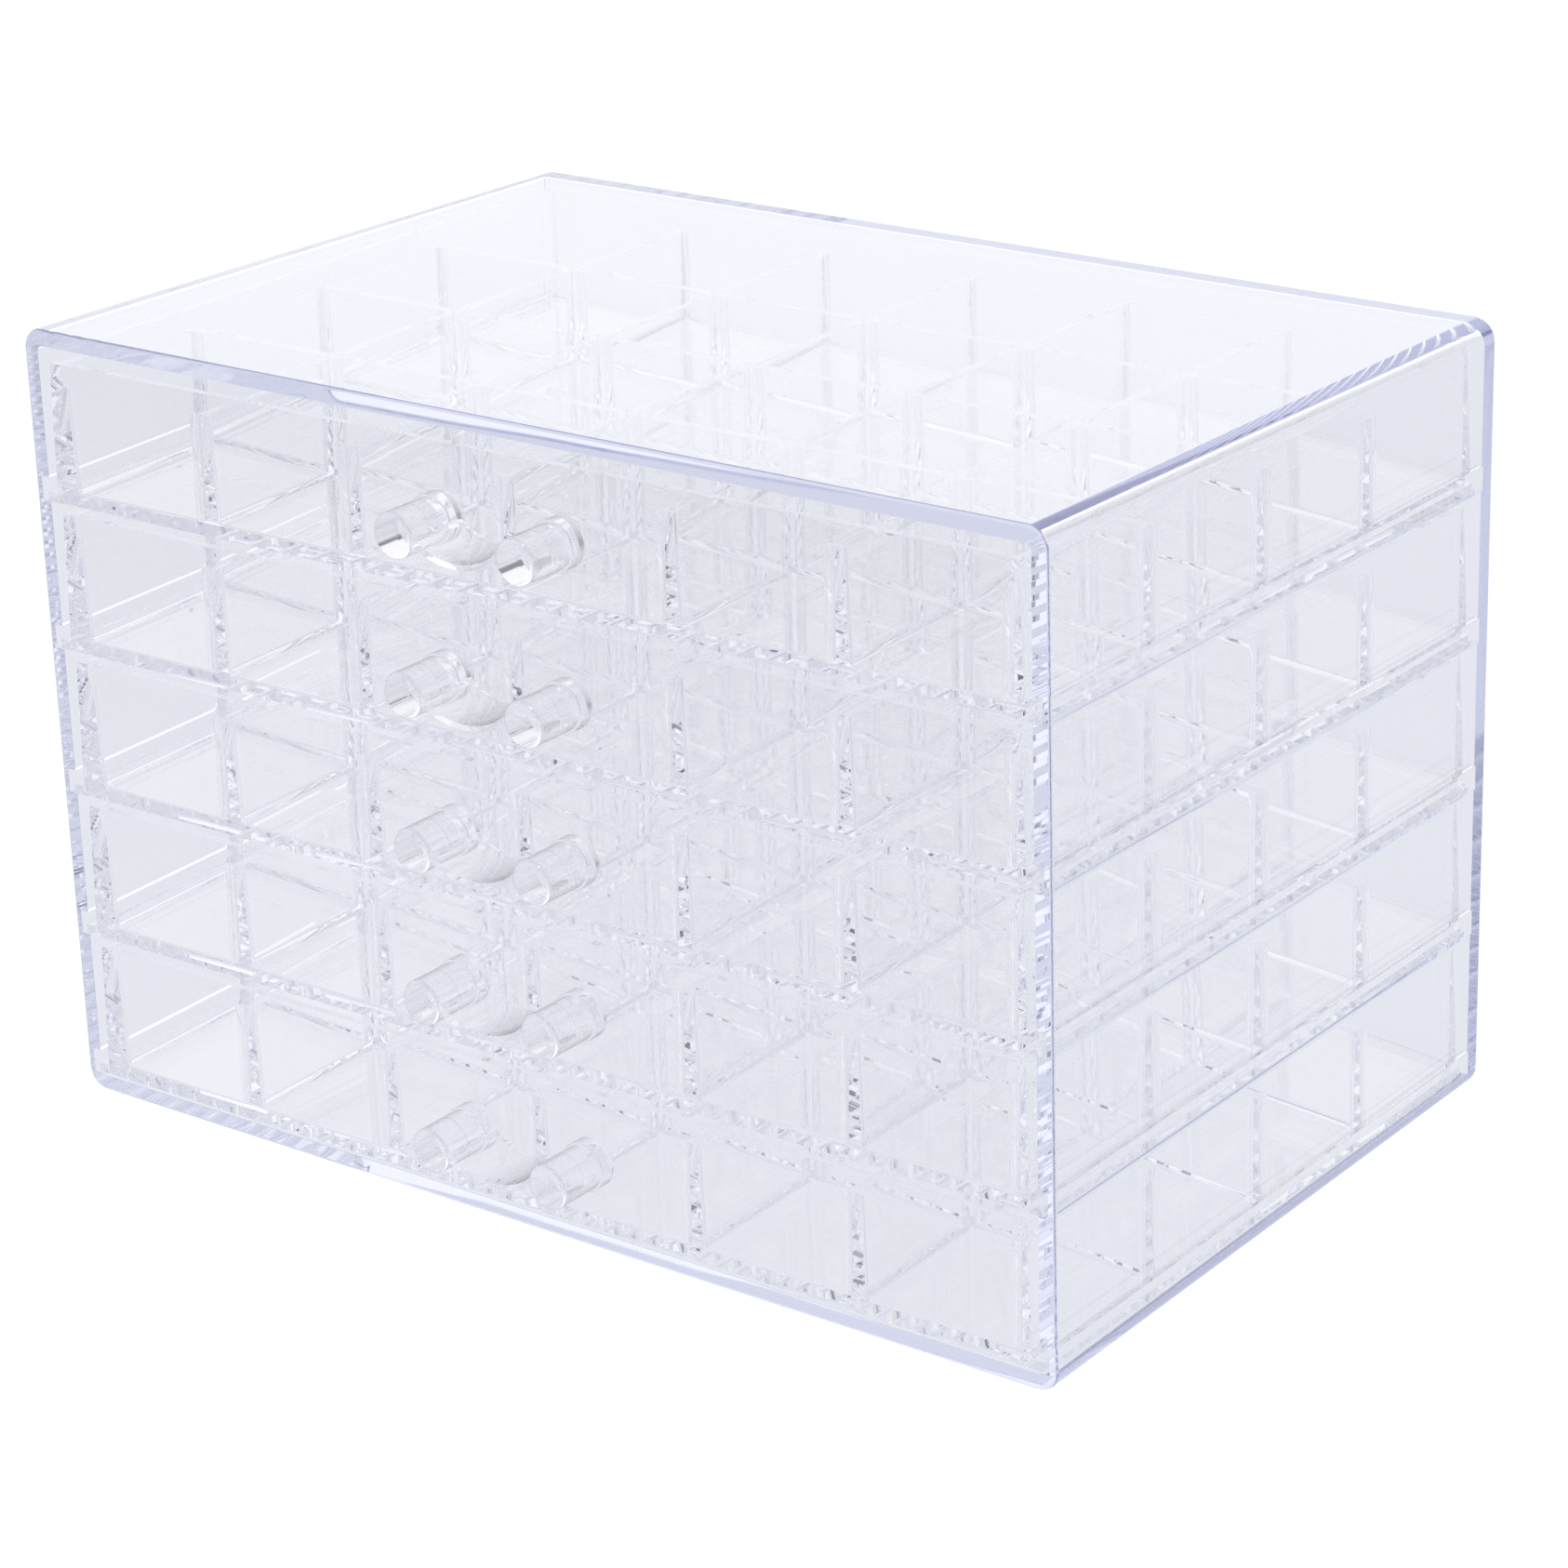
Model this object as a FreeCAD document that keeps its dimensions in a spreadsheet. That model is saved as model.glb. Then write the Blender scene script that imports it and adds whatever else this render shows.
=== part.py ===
"""Clear moulded drawer organiser: an open-fronted case with five grid-divided drawers.

Row frame: +Z up, +X across the front, drawers pull out along -Y.  The origin is the middle of
the whole object's footprint, on the surface that it stands on.  Lengths are millimetres.
"""
import FreeCAD, Part
import Sketcher
import math
import os

SIZES = {
    # case
    "case_width": 235.0,
    "case_depth": 152.2,
    "case_draft": 0.67,       # degrees by which the sides and top close in towards the back
    "case_corner": 4.4,       # rounding of the four long outer edges
    "rim_soft_edge": 0.6,     # chamfer around the outside of the open front
    "side_wall": 3.6,
    "top_wall": 3.3,
    "base_wall": 3.3,
    "back_wall": 2.0,
    "head_room": 1.1,         # extra height over the top drawer
    # runners cut along the case's side walls
    "bay_draft": 0.4,         # degrees by which side faces and runners close in
    "runner_rise": 0.3,       # lowest runner above the case's inner floor
    "runner_depth": 2.0,
    "runner_height": 5.0,
    "drawer_pitch": 30.2,
    "drawer_count": 5.0,
    # clearances between drawer and case
    "front_recess": 0.3,      # drawer front behind the case's rim
    "side_gap": 1.7,          # drawer wall to case wall
    "lip_gap": 1.1,           # runner lip to the bottom of its runner
    "rest_gap": 0.1,          # under the runner lip
    "rear_gap": 1.0,          # runner lip to the case's back wall
    "top_gap": 2.0,           # drawer front to the drawer above
    # drawer
    "draft": 1.2,             # degrees of mould taper in and between the compartments
    "outer_draft": 2.0,       # degrees by which the outsides lean in towards the top
    "floor_thick": 1.9,
    "rear_lip": 0.4,          # runner lip behind the back wall
    "lip_corner": 3.0,
    "front_thick": 2.3,       # at the foot
    "front_soft_edge": 0.5,
    "side_foot": 3.7,         # side wall thickness at the foot
    "back_foot": 2.0,         # back wall thickness at the foot
    "drawer_corner": 2.5,     # rounded rear corners
    "wall_drop": 0.5,         # side and back walls below the top of the front panel
    "divider_foot": 2.9,      # divider thickness at the foot
    "divider_drop": 4.7,      # dividers below the top of the front panel
    "columns": 6.0,
    "rows": 4.0,
    # pull
    "pull_spacing": 28.2,     # between the two pegs
    "peg_radius": 4.5,
    "peg_length": 13.5,
    "peg_soft_edge": 0.35,
    "collar_radius": 4.95,
    "collar_length": 3.2,
    "web_inset": 0.3,         # web's front edge behind the peg ends
    "web_end": 4.0,           # where the web meets the peg, from the peg's axis
    "web_end_top": 1.9,       # web's upper corner above the peg's axis
    "web_end_foot": 0.5,      # web's lower corner below the peg's axis
    "web_sag": 2.8,           # middle of the web's upper face below the peg's axis
    "web_thick": 1.1,         # at the middle
}

# Sizes that follow from the ones above, as expressions on the sheet.
INNER_WIDTH = "(sizes.case_width - 2 * sizes.side_wall)"
INNER_DEPTH = "(sizes.case_depth - sizes.back_wall)"
STACK_HEIGHT = "(sizes.runner_rise + sizes.drawer_count * sizes.drawer_pitch + sizes.head_room)"
CASE_HEIGHT = "(sizes.base_wall + " + STACK_HEIGHT + " + sizes.top_wall)"
FIRST_RUNNER = "(sizes.base_wall + sizes.runner_rise)"
TO_ROW_Y = "((sizes.peg_length - sizes.front_recess - sizes.case_depth) / 2)"

DRAWER_HALF = "(" + INNER_WIDTH + " / 2 - sizes.side_gap)"
LIP_HALF = "(" + INNER_WIDTH + " / 2 + sizes.runner_depth - sizes.lip_gap)"
LIP_REAR = "(" + INNER_DEPTH + " - sizes.rear_gap)"
WALL_REAR = "(" + LIP_REAR + " - sizes.rear_lip)"
FLOOR_TOP = "(sizes.rest_gap + sizes.floor_thick)"
FRONT_TOP = "(sizes.drawer_pitch - sizes.top_gap)"
WALL_TOP = "(" + FRONT_TOP + " - sizes.wall_drop)"
DIVIDER_TOP = "(" + FRONT_TOP + " - sizes.divider_drop)"
PULL_HEIGHT = "((sizes.rest_gap + " + FRONT_TOP + ") / 2)"

CAVITY_HALF = "(" + DRAWER_HALF + " - sizes.side_foot)"
CAVITY_FRONT = "(sizes.front_recess + sizes.front_thick)"
CAVITY_REAR = "(" + WALL_REAR + " - sizes.back_foot)"
COLUMN_PITCH = "((2 * " + CAVITY_HALF + " + sizes.divider_foot) / sizes.columns)"
ROW_PITCH = ("((" + CAVITY_REAR + " - " + CAVITY_FRONT + " + sizes.divider_foot)"
             " / sizes.rows)")
SLOPE = "tan(sizes.draft * 1deg)"

TOUCH = 0.01                  # how near an edge lies to the face that it is picked by
WALL_SOLIDS = ("left", "right", "back")

doc = FreeCAD.newDocument("drawer_organiser")


def make_sheet():
    """Driving dimensions, one named cell each."""
    sheet = doc.addObject("Spreadsheet::Sheet", "sizes")
    for row, (alias, value) in enumerate(SIZES.items(), start=1):
        sheet.set("A%d" % row, alias)
        sheet.set("B%d" % row, str(value))
        sheet.setAlias("B%d" % row, alias)
    doc.recompute()
    return sheet


def origin_feature(body, role):
    return [f for f in body.Origin.OriginFeatures if f.Role == role][0]


def new_body(name):
    return doc.addObject("PartDesign::Body", name)


def new_sketch(body, name, plane):
    sketch = body.newObject("Sketcher::SketchObject", name)
    sketch.AttachmentSupport = (origin_feature(body, plane), [""])
    sketch.MapMode = "FlatFace"
    return sketch


def drive(sketch, constraint, name, expression):
    """Add a named constraint and bind it to the sheet."""
    index = sketch.addConstraint(constraint)
    sketch.renameConstraint(index, name)
    sketch.setExpression("Constraints." + name, expression)


def value_of(expression):
    """The expression's present value, in millimetres."""
    return float(sizes.evalExpression(expression))


def polygon(sketch, corners):
    """A closed outline whose corners are (x, y) expressions, each corner driven by the sheet."""
    points = [FreeCAD.Vector(value_of(x), value_of(y), 0) for x, y in corners]
    first = sketch.GeometryCount
    count = len(points)
    for i in range(count):
        sketch.addGeometry(Part.LineSegment(points[i], points[(i + 1) % count]), False)
    for i in range(count):
        following = first + (i + 1) % count
        sketch.addConstraint(Sketcher.Constraint("Coincident", first + i, 2, following, 1))
    for i, (x, y) in enumerate(corners):
        across = Sketcher.Constraint("DistanceX", -1, 1, first + i, 1, points[i].x)
        upward = Sketcher.Constraint("DistanceY", -1, 1, first + i, 1, points[i].y)
        drive(sketch, across, "x%d" % (first + i), x)
        drive(sketch, upward, "y%d" % (first + i), y)


def rectangle(sketch, left, bottom, right, top):
    polygon(sketch, [(left, bottom), (right, bottom), (right, top), (left, top)])


def feature(body, kind, name, profile, length, reverse=False):
    """A pad or pocket of one sketch, its length driven by the sheet."""
    result = body.newObject("PartDesign::" + kind, name)
    result.Profile = profile
    result.Reversed = reverse
    result.setExpression("Length", length)
    profile.Visibility = False
    return result


def pattern(body, name, original, axis, spacing, count):
    result = body.newObject("PartDesign::LinearPattern", name)
    result.Originals = [original]
    result.Direction = (origin_feature(body, axis), [""])
    result.Mode = "Spacing"
    result.setExpression("Offset", spacing)
    result.setExpression("Occurrences", count)
    body.Tip = result
    return result


def soften(body, name, base, chosen, size, kind="Fillet"):
    """Round, or chamfer, the edges of base that chosen(edge) picks."""
    doc.recompute()
    names = ["Edge%d" % (i + 1) for i, edge in enumerate(base.Shape.Edges) if chosen(edge)]
    assert names, name + " finds no edge to soften"
    softened = body.newObject("PartDesign::" + kind, name)
    softened.Base = (base, names)
    softened.setExpression("Radius" if kind == "Fillet" else "Size", size)
    body.Tip = softened
    return softened


def runs_along(edge, axis):
    """True for an edge along the named axis, or leaning from it by no more than a mould taper."""
    box = edge.BoundBox
    spans = dict(X=box.XLength, Y=box.YLength, Z=box.ZLength)
    own = spans.pop(axis)
    return own > 10 * max(spans.values())


def combine(kind, name, base, tool):
    result = doc.addObject("Part::" + kind, name)
    result.Base = base
    result.Tool = tool
    return result


# ------------------------------------------------------------------------------------- case
def wedge(body, kind, name, near, far, start, end, plane="XY_Plane"):
    """Additive or subtractive block between two rectangles that face each other.

    near and far are (half width, low, high): x is centred and z runs from low to high.
    near lies at y = start and far at y = end, in the axes of the plane it stands on.
    """
    result = body.newObject("PartDesign::" + kind + "Wedge", name)
    result.AttachmentSupport = (origin_feature(body, plane), "")
    result.MapMode = "FlatFace"
    limits = {"Ymin": start, "Ymax": end}
    for mark, (half, low, high) in (("", near), ("2", far)):
        limits["X" + mark + "min"], limits["X" + mark + "max"] = "-" + half, half
        limits["Z" + mark + "min"], limits["Z" + mark + "max"] = low, high
    for prop, expression in limits.items():
        setattr(result, prop, value_of(expression))
        result.setExpression(prop, expression)
    body.Tip = result
    return result


def make_case():
    """One moulding: rounded outside, open front, a pair of runners for every drawer."""
    body = new_body("case")
    outer_lean = "tan(sizes.case_draft * 1deg) * sizes.case_depth"
    outer_half = "(sizes.case_width / 2)"
    block = wedge(body, "Additive", "case_block", (outer_half, "0", CASE_HEIGHT),
                  ("(" + outer_half + " - " + outer_lean + ")", "0",
                   CASE_HEIGHT + " - " + outer_lean), "0", "sizes.case_depth")
    rounded = soften(body, "case_long_edges", block, lambda e: runs_along(e, "Y"),
                     "sizes.case_corner")
    rim = soften(body, "case_rim", rounded, lambda e: e.BoundBox.YMax < TOUCH,
                 "sizes.rim_soft_edge", kind="Chamfer")
    doc.recompute()
    bay_lean = "tan(sizes.bay_draft * 1deg) * " + INNER_DEPTH
    bay_half = "(" + INNER_WIDTH + " / 2)"
    ceiling = "(sizes.base_wall + " + STACK_HEIGHT + ")"
    hollow = wedge(body, "Subtractive", "case_hollow", (bay_half, "sizes.base_wall", ceiling),
                   ("(" + bay_half + " - " + bay_lean + ")", "sizes.base_wall",
                    ceiling + " - tan(sizes.case_draft * 1deg) * " + INNER_DEPTH),
                   "0", INNER_DEPTH)
    doc.recompute()
    runner_half = "(" + bay_half + " + sizes.runner_depth)"
    runner_top = "(" + FIRST_RUNNER + " + sizes.runner_height)"
    runner = wedge(body, "Subtractive", "lowest_runner", (runner_half, FIRST_RUNNER, runner_top),
                   ("(" + runner_half + " - " + bay_lean + ")", FIRST_RUNNER,
                    "(" + runner_top + " - " + bay_lean + ")"), "0", INNER_DEPTH)
    pattern(body, "runners", runner, "Z_Axis", "sizes.drawer_pitch", "sizes.drawer_count")
    doc.recompute()
    assert hollow.Shape.Volume < 0.3 * rim.Shape.Volume, "the case isn't hollow"
    assert body.Shape.Volume < hollow.Shape.Volume, "the runners cut nothing"
    body.setExpression("Placement.Base.y", TO_ROW_Y)
    body.Label = "case"
    return body


# ----------------------------------------------------------------------------------- drawer
# The drawer's pieces are drawn once, with y = 0 at the case's rim and z = 0 at the runner.
def make_floor():
    """Floor plate that stands out past the walls as the runner lips, narrower at the rear."""
    body = new_body("floor_form")
    outline = new_sketch(body, "floor_outline", "XY_Plane")
    rear_half = "(" + LIP_HALF + " - tan(sizes.bay_draft * 1deg) * " + LIP_REAR + ")"
    polygon(outline, [("-" + LIP_HALF, "sizes.front_recess"), (LIP_HALF, "sizes.front_recess"),
                      (rear_half, LIP_REAR), ("-" + rear_half, LIP_REAR)])
    outline.setExpression("AttachmentOffset.Base.z", "sizes.rest_gap")
    plate = feature(body, "Pad", "floor_plate", outline, "sizes.floor_thick")
    middle = value_of(LIP_REAR) / 2

    def rear_corner(edge):
        return runs_along(edge, "Z") and edge.BoundBox.YMin > middle

    soften(body, "floor_corners", plate, rear_corner, "sizes.lip_corner")
    return body


def drafted_prism(name, section_plane, low, high, top, start, length):
    """Prism on the drawer's floor whose two facing sides lean apart by the mould taper.

    low and high are the places of those sides at the floor's top.
    """
    body = new_body(name)
    section = new_sketch(body, name + "_section", section_plane)
    lean = SLOPE + " * (" + top + " - " + FLOOR_TOP + ")"
    polygon(section, [(low, FLOOR_TOP), (high, FLOOR_TOP),
                      (high + " + " + lean, top), (low + " - " + lean, top)])
    section.setExpression("AttachmentOffset.Base.z", start)
    feature(body, "Pad", name + "_pad", section, length)
    return body


def make_cavity_forms():
    """Two prisms whose common part is the drawer's inside, above its floor."""
    above = "(2 * " + WALL_TOP + ")"
    across = drafted_prism("inside_front_to_back", "YZ_Plane", CAVITY_FRONT, CAVITY_REAR,
                           above, "-2 * " + LIP_HALF, "4 * " + LIP_HALF)
    along = drafted_prism("inside_side_to_side", "XZ_Plane", "-" + CAVITY_HALF, CAVITY_HALF,
                          above, "-2 * " + LIP_REAR, "3 * " + LIP_REAR)
    return across, along


def make_wall_form():
    """Outside of the side and back walls: a tapered block with rounded rear corners."""
    body = new_body("wall_form")
    outline = new_sketch(body, "wall_outline", "XY_Plane")
    rectangle(outline, "-" + DRAWER_HALF, "sizes.front_recess", DRAWER_HALF, WALL_REAR)
    outline.setExpression("AttachmentOffset.Base.z", FLOOR_TOP)
    block = feature(body, "Pad", "wall_block", outline, WALL_TOP + " - " + FLOOR_TOP)
    block.setExpression("TaperAngle", "-sizes.outer_draft * 1deg")
    middle = value_of(WALL_REAR) / 2

    def rear_corner(edge):
        return runs_along(edge, "Z") and edge.BoundBox.YMin > middle

    soften(body, "wall_corners", block, rear_corner, "sizes.drawer_corner")
    return body


def make_back_form():
    """Everything behind the inner face of the drawer's back wall."""
    body = new_body("back_form")
    section = new_sketch(body, "back_section", "YZ_Plane")
    lean = SLOPE + " * (" + WALL_TOP + " - " + FLOOR_TOP + ")"
    polygon(section, [(CAVITY_REAR, FLOOR_TOP), (LIP_REAR, FLOOR_TOP), (LIP_REAR, WALL_TOP),
                      (CAVITY_REAR + " + " + lean, WALL_TOP)])
    section.setExpression("AttachmentOffset.Base.z", "-" + LIP_HALF)
    feature(body, "Pad", "back_block", section, "2 * " + LIP_HALF)
    return body


def make_front():
    """Front panel: upright face, tapered inside and ends, with softened outer edges."""
    body = new_body("front_form")
    height = "(" + FRONT_TOP + " - " + FLOOR_TOP + ")"
    top_half = "(" + DRAWER_HALF + " - tan(sizes.outer_draft * 1deg) * " + height + ")"
    panel = wedge(body, "Additive", "front_panel",
                  (DRAWER_HALF, "-" + CAVITY_FRONT, "-sizes.front_recess"),
                  (top_half, "-" + CAVITY_FRONT + " + " + SLOPE + " * " + height,
                   "-sizes.front_recess"), FLOOR_TOP, FRONT_TOP, plane="XZ_Plane")
    doc.recompute()
    top = value_of(FRONT_TOP) - TOUCH
    face = value_of("sizes.front_recess") + TOUCH

    def outer_edge(edge):
        on_top = runs_along(edge, "X") and edge.BoundBox.ZMin > top
        return on_top or edge.BoundBox.YMax < face and edge.BoundBox.ZLength > TOUCH

    soften(body, "front_edges", panel, outer_edge, "sizes.front_soft_edge")
    return body


def make_divider_plates():
    """Tapered plates, longer than the drawer's inside, that are trimmed to it later."""
    half_foot = "sizes.divider_foot / 2"
    lean = SLOPE + " * (" + DIVIDER_TOP + " - " + FLOOR_TOP + ")"

    def plate(name, plane, centre, start, length, reverse):
        body = new_body(name)
        section = new_sketch(body, name + "_section", plane)
        polygon(section, [(centre + " - " + half_foot, FLOOR_TOP),
                          (centre + " + " + half_foot, FLOOR_TOP),
                          (centre + " + " + half_foot + " - " + lean, DIVIDER_TOP),
                          (centre + " - " + half_foot + " + " + lean, DIVIDER_TOP)])
        section.setExpression("AttachmentOffset.Base.z", start)
        pad = feature(body, "Pad", name + "_pad", section, length, reverse=reverse)
        return body, pad

    first_column = "(-" + CAVITY_HALF + " - " + half_foot + " + " + COLUMN_PITCH + ")"
    long_body, long_pad = plate("long_plates", "XZ_Plane", first_column, "0", LIP_REAR, True)
    pattern(long_body, "long_rows", long_pad, "X_Axis", COLUMN_PITCH, "sizes.columns - 1")

    first_row = "(" + CAVITY_FRONT + " - " + half_foot + " + " + ROW_PITCH + ")"
    cross_body, cross_pad = plate("cross_plates", "YZ_Plane", first_row,
                                  "-" + LIP_HALF, "2 * " + LIP_HALF, False)
    pattern(cross_body, "cross_rows", cross_pad, "Y_Axis", ROW_PITCH, "sizes.rows - 1")
    return long_body, cross_body


def make_pull():
    """Two collared pegs joined by a sagging web that the fingertip rests in."""
    body = new_body("pull_form")
    axis_x = "sizes.pull_spacing / 2"

    def peg_pair(name, radius, length):
        sketch = new_sketch(body, name + "_circles", "XZ_Plane")
        for index, side in enumerate(("-", "")):
            centre = FreeCAD.Vector(value_of(side + axis_x), value_of(PULL_HEIGHT), 0)
            circle = Part.Circle(centre, FreeCAD.Vector(0, 0, 1), value_of(radius))
            sketch.addGeometry(circle, False)
            round_size = Sketcher.Constraint("Radius", index, value_of(radius))
            across = Sketcher.Constraint("DistanceX", -1, 1, index, 3, centre.x)
            upward = Sketcher.Constraint("DistanceY", -1, 1, index, 3, centre.y)
            drive(sketch, round_size, "radius%d" % index, radius)
            drive(sketch, across, "x%d" % index, side + axis_x)
            drive(sketch, upward, "y%d" % index, PULL_HEIGHT)
        sketch.setExpression("AttachmentOffset.Base.z", "-sizes.front_recess")
        return feature(body, "Pad", name, sketch, length)

    pegs = peg_pair("pegs", "sizes.peg_radius", "sizes.peg_length")
    doc.recompute()
    tip = pegs.Shape.BoundBox.YMin + TOUCH
    soften(body, "peg_tips", pegs, lambda e: e.BoundBox.YMax < tip, "sizes.peg_soft_edge",
           kind="Chamfer")
    peg_pair("collars", "sizes.collar_radius", "sizes.collar_length")
    make_web(body, axis_x)
    return body


def make_web(body, axis_x):
    """Thin crescent slung between the pegs, its two ends inside them."""
    section = new_sketch(body, "web_section", "XZ_Plane")
    end_x = "(" + axis_x + " - sizes.web_end)"
    end_top = PULL_HEIGHT + " + sizes.web_end_top"
    end_foot = PULL_HEIGHT + " - sizes.web_end_foot"
    mid_top = PULL_HEIGHT + " - sizes.web_sag"
    top_dip = "(sizes.web_end_top + sizes.web_sag)"
    foot_dip = "(sizes.web_sag + sizes.web_thick - sizes.web_end_foot)"

    def hanging_arc(dip, lowest):
        """Arc through both ends that hangs by dip; returns its radius as an expression."""
        radius = "((" + end_x + "^2 + " + dip + "^2) / (2 * " + dip + "))"
        size = value_of(radius)
        half_angle = math.asin(value_of(end_x) / size)
        centre = FreeCAD.Vector(0, value_of(lowest) + size, 0)
        circle = Part.Circle(centre, FreeCAD.Vector(0, 0, 1), size)
        down = -math.pi / 2
        arc = Part.ArcOfCircle(circle, down - half_angle, down + half_angle)
        section.addGeometry(arc, False)
        return radius

    def upright(x):
        low = FreeCAD.Vector(value_of(x), value_of(end_foot), 0)
        high = FreeCAD.Vector(value_of(x), value_of(end_top), 0)
        section.addGeometry(Part.LineSegment(low, high), False)

    top_arc, foot_arc, left, right = range(4)
    top_radius = hanging_arc(top_dip, mid_top)
    foot_radius = hanging_arc(foot_dip, mid_top + " - sizes.web_thick")
    upright("-" + end_x)
    upright(end_x)
    for arc, point, line, line_point in ((top_arc, 1, left, 2), (foot_arc, 1, left, 1),
                                         (top_arc, 2, right, 2), (foot_arc, 2, right, 1)):
        section.addConstraint(Sketcher.Constraint("Coincident", arc, point, line, line_point))
    for line, x in ((left, "-" + end_x), (right, end_x)):
        for point, height in ((1, end_foot), (2, end_top)):
            across = Sketcher.Constraint("DistanceX", -1, 1, line, point, value_of(x))
            upward = Sketcher.Constraint("DistanceY", -1, 1, line, point, value_of(height))
            drive(section, across, "x%d_%d" % (line, point), x)
            drive(section, upward, "y%d_%d" % (line, point), height)
    for arc, radius in ((top_arc, top_radius), (foot_arc, foot_radius)):
        bend = Sketcher.Constraint("Radius", arc, value_of(radius))
        drive(section, bend, "radius%d" % arc, radius)
    section.setExpression("AttachmentOffset.Base.z", "-sizes.front_recess")
    feature(body, "Pad", "web", section, "sizes.peg_length - sizes.web_inset")


# ------------------------------------------------------------------------------------ nodes
def make_drawer_masters():
    """The six pieces that every drawer repeats, by node ending."""
    across, along = make_cavity_forms()
    wall_form = make_wall_form()
    long_plates, cross_plates = make_divider_plates()
    cavity = combine("Common", "cavity", across, along)
    wall_band = combine("Common", "wall_band", wall_form, across)
    side_walls = combine("Cut", "side_walls", wall_band, along)
    back_wall = combine("Common", "back_wall", wall_form, make_back_form())
    cross_dividers = combine("Common", "cross_dividers", cross_plates, cavity)
    trimmed_long = combine("Common", "trimmed_long", long_plates, cavity)
    long_dividers = combine("Cut", "long_dividers", trimmed_long, cross_plates)
    return {
        "floor": [make_floor()],
        "front": [make_front()],
        "walls": [side_walls, back_wall],
        "long_dividers": [long_dividers],
        "cross_dividers": [cross_dividers],
        "pull": [make_pull()],
    }


def place_drawers(masters):
    """One set of nodes for every drawer, numbered from the top one down."""
    count = int(SIZES["drawer_count"])
    nodes = []
    for number in range(1, count + 1):
        level = FIRST_RUNNER + " + (sizes.drawer_count - %d) * sizes.drawer_pitch" % number
        for ending, pieces in masters.items():
            node = doc.addObject("Part::Compound", "drawer_%d_%s" % (number, ending))
            node.Links = pieces
            node.setExpression("Placement.Base.y", TO_ROW_Y)
            node.setExpression("Placement.Base.z", level)
            node.Label = "drawer_%d_%s" % (number, ending)
            nodes.append(node)
    return nodes


def expected_solids(kind):
    """How many separate solids a node of this kind holds."""
    columns, rows = int(SIZES["columns"]), int(SIZES["rows"])
    several = {"walls": len(WALL_SOLIDS), "long_dividers": (columns - 1) * rows,
               "cross_dividers": rows - 1}
    return several.get(kind, 1)


sizes = make_sheet()
case = make_case()
drawer_nodes = place_drawers(make_drawer_masters())
doc.recompute()

for item in doc.Objects:
    assert not {"Invalid", "Error"} & set(item.State), item.Name + " failed to build"

os.makedirs("parts", exist_ok=True)
for node in [case] + drawer_nodes:
    shape = node.Shape
    kind = node.Label.split("_", 2)[-1]
    assert not shape.isNull() and shape.isValid(), node.Label + " has no valid shape"
    assert len(shape.Solids) == expected_solids(kind), node.Label + " has the wrong solids"
    shape.exportStep("parts/" + node.Label + ".step")
    print("%-26s %3d solids %10.1f mm3" % (node.Label, len(shape.Solids), shape.Volume))
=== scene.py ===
# %% [markdown]
# # A clear drawer organiser for nail-art supplies
# The real thing is injection moulded from crystal-clear plastic: an open-fronted box, and
# five trays that slide in it.  Each tray is split by thin ribs into 6 x 4 small squares and
# is pulled by two pegs with a thin web slung between them.
#
# Clear plastic shows every surface at once, from the front face to the back wall.  So each
# moulding is made here as one closed skin, like the real part, and light is left to bend
# through it.  A stack of touching solids would show false seams at every joint.

# %% Load the measured model
import math
import bmesh
import bpy
from mathutils import Matrix, Vector


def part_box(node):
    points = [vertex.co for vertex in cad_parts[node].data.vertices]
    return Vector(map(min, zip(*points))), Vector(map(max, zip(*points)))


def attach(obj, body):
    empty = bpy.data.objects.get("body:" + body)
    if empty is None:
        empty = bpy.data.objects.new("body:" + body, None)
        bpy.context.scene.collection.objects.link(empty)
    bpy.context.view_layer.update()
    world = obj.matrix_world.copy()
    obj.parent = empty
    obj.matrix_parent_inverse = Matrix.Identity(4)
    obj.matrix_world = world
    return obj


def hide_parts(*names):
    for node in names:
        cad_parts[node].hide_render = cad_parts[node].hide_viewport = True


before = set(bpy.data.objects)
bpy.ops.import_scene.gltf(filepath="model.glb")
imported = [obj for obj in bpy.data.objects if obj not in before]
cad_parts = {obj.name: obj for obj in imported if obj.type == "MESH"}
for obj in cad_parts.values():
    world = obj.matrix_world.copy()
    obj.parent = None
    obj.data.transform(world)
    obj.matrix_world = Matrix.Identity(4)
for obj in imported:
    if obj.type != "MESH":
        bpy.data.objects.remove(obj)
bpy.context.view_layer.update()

MM = 0.001

# %% [markdown]
# ## Camera
# The organiser is seen from the right of its front and from a little above, through a long
# lens, so its upright edges stay nearly parallel.  The camera is placed before anything else
# is made.

# %% Camera
camera_data = bpy.data.cameras.new("organiser_camera")
camera_data.sensor_width = 36.0
camera_data.lens = 107.776
camera = bpy.data.objects.new("organiser_camera", camera_data)
camera.location = (0.52288, -0.67043, 0.39670)
camera.rotation_euler = [math.radians(a) for a in (68.7913, 1.6889, 36.8441)]
bpy.context.collection.objects.link(camera)
bpy.context.scene.camera = camera
print("camera stands", round(camera.location.length, 3), "m from the middle of the base")

# %% [markdown]
# ## Building blocks for the moulds
# A moulded part is shaped by steel blocks that must slide out again, so every wall leans a
# degree or so.  Geometry Nodes suit this well: a plain block, a node that leans its sides in
# by a slope, a line of copies, and a boolean.  The helpers below write such trees in few
# lines.  Lengths are metres and slopes are plain ratios.

# %% Node helpers
AXES = "XYZ"


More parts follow.
